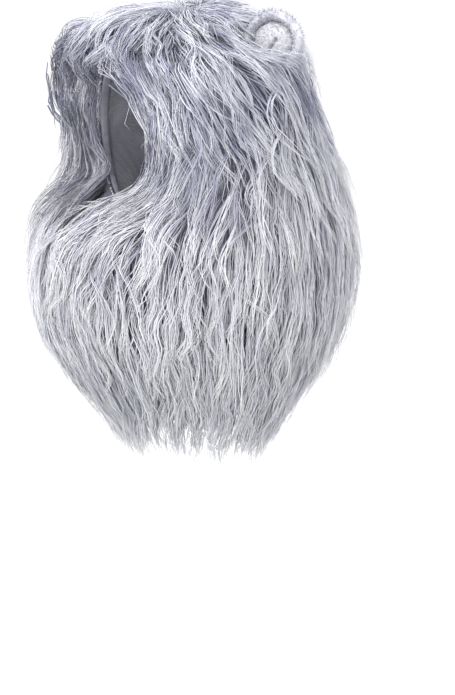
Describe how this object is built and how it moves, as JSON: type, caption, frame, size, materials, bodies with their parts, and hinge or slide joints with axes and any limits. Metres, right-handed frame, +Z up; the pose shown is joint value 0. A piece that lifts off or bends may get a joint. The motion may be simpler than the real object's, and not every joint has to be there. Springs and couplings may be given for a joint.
{
  "type": "pet lion mane wig",
  "caption": "Hooded lion mane wig of long grey faux fur for a large pet, open at the face and neck, with two round plush ears.",
  "frame": {"origin": "crown seat, the highest place inside the hood, which bears on the top of the head", "axes": "the face looks out along -Y, the wig's left side is +X, up is +Z"},
  "size_m": [0.4351, 0.4243, 0.5863],
  "materials": {
    "long_fur": "long wavy faux fur, cool lavender grey with slate roots",
    "ear_fur": "short fluffy grey plush",
    "ear_plush": "smooth short near-white plush",
    "backing_knit": "matt knitted fur backing",
    "hem_cloth": "gathered casing cloth over elastic"
  },
  "bodies": {
    "root": {"hood_backing": "backing_knit", "face_hem": "hem_cloth", "neck_hem": "hem_cloth", "mane_panel_left": "long_fur", "mane_panel_right": "long_fur", "ear_cup_left": "ear_fur", "ear_cup_right": "ear_fur", "ear_pad_left": "ear_plush", "ear_pad_right": "ear_plush"}
  },
  "joints": []
}
